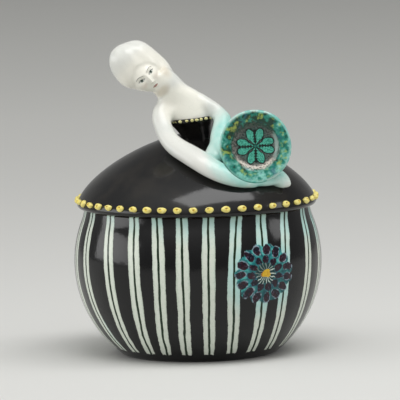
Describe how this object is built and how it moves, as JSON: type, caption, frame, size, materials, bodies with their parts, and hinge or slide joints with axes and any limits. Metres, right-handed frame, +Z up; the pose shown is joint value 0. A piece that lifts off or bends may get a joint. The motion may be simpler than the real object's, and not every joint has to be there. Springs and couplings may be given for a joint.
{
  "type": "lidded candy box",
  "caption": "Round ceramic box with a domed lid that lifts straight off; on the lid a half figure leans to one side and holds a round dish, and drops of slip line the lid's edge.",
  "frame": {"origin": "on the surface the box stands on, at the axis of the round bowl", "axes": "+Z up along the bowl's axis, -Y towards the front with the painted flower and the figure's face, +X to the viewer's right, where the dish is"},
  "size_m": [0.19, 0.19, 0.2426],
  "materials": {
    "bowl_glaze": "glossy black glaze with hand-painted off-white stripes, thin dark green lines along their middles, and a turquoise and purple flower",
    "lid_glaze": "glossy black glaze",
    "bare_clay": "unglazed fired clay where the lid seats",
    "figure_glaze": "soft glossy white glaze, shaded turquoise near the dish and beige at the neck",
    "bodice_glaze": "glossy black glaze over soft folds, with small yellow drops along its edge",
    "bead_glaze": "yellow slip drops with browned edges",
    "dish_glaze": "mottled turquoise, green and blue glaze, with a painted rosette in the well"
  },
  "bodies": {
    "bowl": {"bowl": "bowl_glaze"},
    "lid": {"lid": "lid_glaze", "lid_locating_ring": "bare_clay", "bodice": "bodice_glaze", "bust": "figure_glaze", "head": "figure_glaze", "coiffure": "figure_glaze", "right_arm": "figure_glaze", "left_arm": "figure_glaze", "dish": "dish_glaze", "rim_bead_01": "bead_glaze", "rim_bead_02": "bead_glaze", "rim_bead_03": "bead_glaze", "rim_bead_04": "bead_glaze", "rim_bead_05": "bead_glaze", "rim_bead_06": "bead_glaze", "rim_bead_07": "bead_glaze", "rim_bead_08": "bead_glaze", "rim_bead_09": "bead_glaze", "rim_bead_10": "bead_glaze", "rim_bead_11": "bead_glaze", "rim_bead_12": "bead_glaze", "rim_bead_13": "bead_glaze", "rim_bead_14": "bead_glaze", "rim_bead_15": "bead_glaze", "rim_bead_16": "bead_glaze", "rim_bead_17": "bead_glaze", "rim_bead_18": "bead_glaze", "rim_bead_19": "bead_glaze", "rim_bead_20": "bead_glaze", "rim_bead_21": "bead_glaze", "rim_bead_22": "bead_glaze", "rim_bead_23": "bead_glaze", "rim_bead_24": "bead_glaze", "rim_bead_25": "bead_glaze", "rim_bead_26": "bead_glaze", "rim_bead_27": "bead_glaze", "rim_bead_28": "bead_glaze", "rim_bead_29": "bead_glaze", "rim_bead_30": "bead_glaze", "rim_bead_31": "bead_glaze", "rim_bead_32": "bead_glaze", "rim_bead_33": "bead_glaze", "rim_bead_34": "bead_glaze", "rim_bead_35": "bead_glaze", "rim_bead_36": "bead_glaze", "rim_bead_37": "bead_glaze", "rim_bead_38": "bead_glaze", "rim_bead_39": "bead_glaze", "rim_bead_40": "bead_glaze", "rim_bead_41": "bead_glaze", "rim_bead_42": "bead_glaze", "rim_bead_43": "bead_glaze", "rim_bead_44": "bead_glaze"}
  },
  "joints": [
    {"name": "lid_lift", "type": "slide", "parent": "bowl", "child": "lid", "axis": [0, 0, 1], "range_m": [0, 0.12]}
  ]
}
